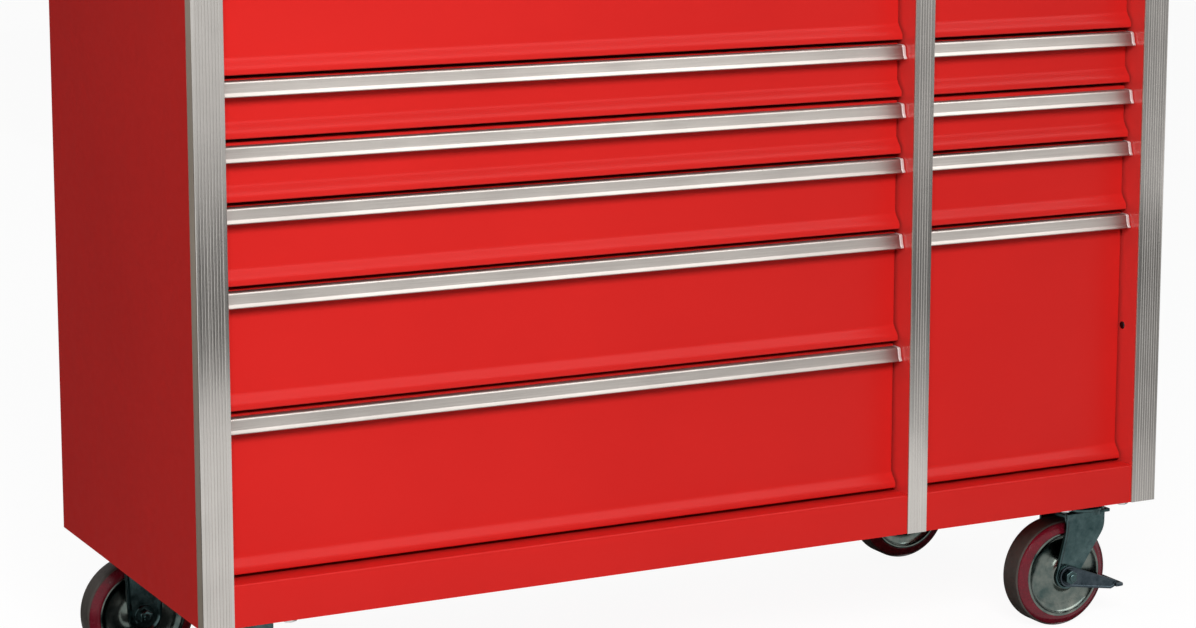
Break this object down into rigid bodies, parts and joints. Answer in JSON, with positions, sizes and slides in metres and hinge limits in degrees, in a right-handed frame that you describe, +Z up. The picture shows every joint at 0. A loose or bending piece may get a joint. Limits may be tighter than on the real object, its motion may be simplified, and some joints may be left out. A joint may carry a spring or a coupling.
{
  "type": "roller tool cabinet",
  "caption": "Wide steel roller tool cabinet with side-by-side banks of drawers, full-width pulls, metal corner trims, a push handle and casters.",
  "frame": {"origin": "on the floor, under the middle of the bounding box of the cabinet with its push handle", "axes": "+Z up; -Y is the front, the way the drawers open; +X to the right as seen from the front, towards the handle and the swivelling casters"},
  "size_m": [1.4996, 0.559, 1.0355],
  "materials": {
    "red_paint": "gloss",
    "trim_alloy": "brushed, fluted along its length",
    "zinc_steel": "zinc plated",
    "caster_steel": "bright zinc plated",
    "wheel_tread": "moulded tread on a steel core"
  },
  "bodies": {
    "cabinet": {"side_panel_left": "red_paint", "side_panel_right": "red_paint", "back_panel": "red_paint", "top_panel": "red_paint", "base_plate": "red_paint", "kick_rail": "red_paint", "top_rail": "red_paint", "partition": "red_paint", "frame_channels": "zinc_steel", "trim_left": "trim_alloy", "trim_center": "trim_alloy", "trim_right": "trim_alloy", "cabinet_slides": "zinc_steel", "side_handle": "zinc_steel", "rigid_casters": "caster_steel", "swivel_plates": "caster_steel", "caster_bolts": "zinc_steel"},
    "drawer_left_1": {"drawer_left_1": "red_paint", "pull_left_1": "trim_alloy", "runners_left_1": "zinc_steel"},
    "drawer_left_2": {"drawer_left_2": "red_paint", "pull_left_2": "trim_alloy", "runners_left_2": "zinc_steel"},
    "drawer_left_3": {"drawer_left_3": "red_paint", "pull_left_3": "trim_alloy", "runners_left_3": "zinc_steel"},
    "drawer_left_4": {"drawer_left_4": "red_paint", "pull_left_4": "trim_alloy", "runners_left_4": "zinc_steel"},
    "drawer_left_5": {"drawer_left_5": "red_paint", "pull_left_5": "trim_alloy", "runners_left_5": "zinc_steel"},
    "drawer_left_6": {"drawer_left_6": "red_paint", "pull_left_6": "trim_alloy", "runners_left_6": "zinc_steel"},
    "drawer_right_1": {"drawer_right_1": "red_paint", "pull_right_1": "trim_alloy", "runners_right_1": "zinc_steel"},
    "drawer_right_2": {"drawer_right_2": "red_paint", "pull_right_2": "trim_alloy", "runners_right_2": "zinc_steel"},
    "drawer_right_3": {"drawer_right_3": "red_paint", "pull_right_3": "trim_alloy", "runners_right_3": "zinc_steel"},
    "drawer_right_4": {"drawer_right_4": "red_paint", "pull_right_4": "trim_alloy", "runners_right_4": "zinc_steel"},
    "drawer_right_5": {"drawer_right_5": "red_paint", "pull_right_5": "trim_alloy", "runners_right_5": "zinc_steel"},
    "caster_fork_front": {"caster_fork_front": "caster_steel"},
    "caster_fork_rear": {"caster_fork_rear": "caster_steel"},
    "wheel_front_left": {"wheel_front_left": "wheel_tread"},
    "wheel_front_right": {"wheel_front_right": "wheel_tread"},
    "wheel_rear_left": {"wheel_rear_left": "wheel_tread"},
    "wheel_rear_right": {"wheel_rear_right": "wheel_tread"},
    "brake_front": {"brake_front": "caster_steel"},
    "brake_rear": {"brake_rear": "caster_steel"},
    "lock_cylinder": {"lock_cylinder": "zinc_steel"},
    "lock_bar": {"lock_bar": "zinc_steel"}
  },
  "joints": [
    {"name": "drawer_left_1_slide", "type": "slide", "parent": "cabinet", "child": "drawer_left_1", "axis": [0, -1, 0], "range_m": [0, 0.38]},
    {"name": "drawer_left_2_slide", "type": "slide", "parent": "cabinet", "child": "drawer_left_2", "axis": [0, -1, 0], "range_m": [0, 0.38]},
    {"name": "drawer_left_3_slide", "type": "slide", "parent": "cabinet", "child": "drawer_left_3", "axis": [0, -1, 0], "range_m": [0, 0.38]},
    {"name": "drawer_left_4_slide", "type": "slide", "parent": "cabinet", "child": "drawer_left_4", "axis": [0, -1, 0], "range_m": [0, 0.38]},
    {"name": "drawer_left_5_slide", "type": "slide", "parent": "cabinet", "child": "drawer_left_5", "axis": [0, -1, 0], "range_m": [0, 0.38]},
    {"name": "drawer_left_6_slide", "type": "slide", "parent": "cabinet", "child": "drawer_left_6", "axis": [0, -1, 0], "range_m": [0, 0.38]},
    {"name": "drawer_right_1_slide", "type": "slide", "parent": "cabinet", "child": "drawer_right_1", "axis": [0, -1, 0], "range_m": [0, 0.38]},
    {"name": "drawer_right_2_slide", "type": "slide", "parent": "cabinet", "child": "drawer_right_2", "axis": [0, -1, 0], "range_m": [0, 0.38]},
    {"name": "drawer_right_3_slide", "type": "slide", "parent": "cabinet", "child": "drawer_right_3", "axis": [0, -1, 0], "range_m": [0, 0.38]},
    {"name": "drawer_right_4_slide", "type": "slide", "parent": "cabinet", "child": "drawer_right_4", "axis": [0, -1, 0], "range_m": [0, 0.38]},
    {"name": "drawer_right_5_slide", "type": "slide", "parent": "cabinet", "child": "drawer_right_5", "axis": [0, -1, 0], "range_m": [0, 0.38]},
    {"name": "caster_front_swivel", "type": "hinge", "parent": "cabinet", "child": "caster_fork_front", "pos_m": [0.59515, -0.2035, 0.16], "axis": [0, 0, 1], "continuous": true},
    {"name": "caster_rear_swivel", "type": "hinge", "parent": "cabinet", "child": "caster_fork_rear", "pos_m": [0.59515, 0.2035, 0.16], "axis": [0, 0, 1], "continuous": true},
    {"name": "wheel_front_left_roll", "type": "hinge", "parent": "cabinet", "child": "wheel_front_left", "pos_m": [-0.67285, -0.2035, 0.0762], "axis": [0, 1, 0], "continuous": true},
    {"name": "wheel_front_right_roll", "type": "hinge", "parent": "caster_fork_front", "child": "wheel_front_right", "pos_m": [0.55515, -0.2035, 0.0762], "axis": [0, 1, 0], "continuous": true},
    {"name": "wheel_rear_left_roll", "type": "hinge", "parent": "cabinet", "child": "wheel_rear_left", "pos_m": [-0.67285, 0.2035, 0.0762], "axis": [0, 1, 0], "continuous": true},
    {"name": "wheel_rear_right_roll", "type": "hinge", "parent": "caster_fork_rear", "child": "wheel_rear_right", "pos_m": [0.55515, 0.2035, 0.0762], "axis": [0, 1, 0], "continuous": true},
    {"name": "brake_front_press", "type": "hinge", "parent": "caster_fork_front", "child": "brake_front", "pos_m": [0.55515, -0.2395, 0.0762], "axis": [0, 1, 0], "range_deg": [0, 15]},
    {"name": "brake_rear_press", "type": "hinge", "parent": "caster_fork_rear", "child": "brake_rear", "pos_m": [0.55515, 0.1675, 0.0762], "axis": [0, 1, 0], "range_deg": [0, 15]},
    {"name": "lock_turn", "type": "hinge", "parent": "cabinet", "child": "lock_cylinder", "pos_m": [0.45965, -0.2795, 0.99625], "axis": [0, -1, 0], "range_deg": [0, 90]},
    {"name": "lock_bar_lift", "type": "slide", "parent": "cabinet", "child": "lock_bar", "axis": [0, 0, 1], "range_m": [0, 0.01131]}
  ],
  "couplings": [
    {"joint": "lock_turn", "follows": "lock_bar_lift", "rad_per_m": 138.84}
  ]
}
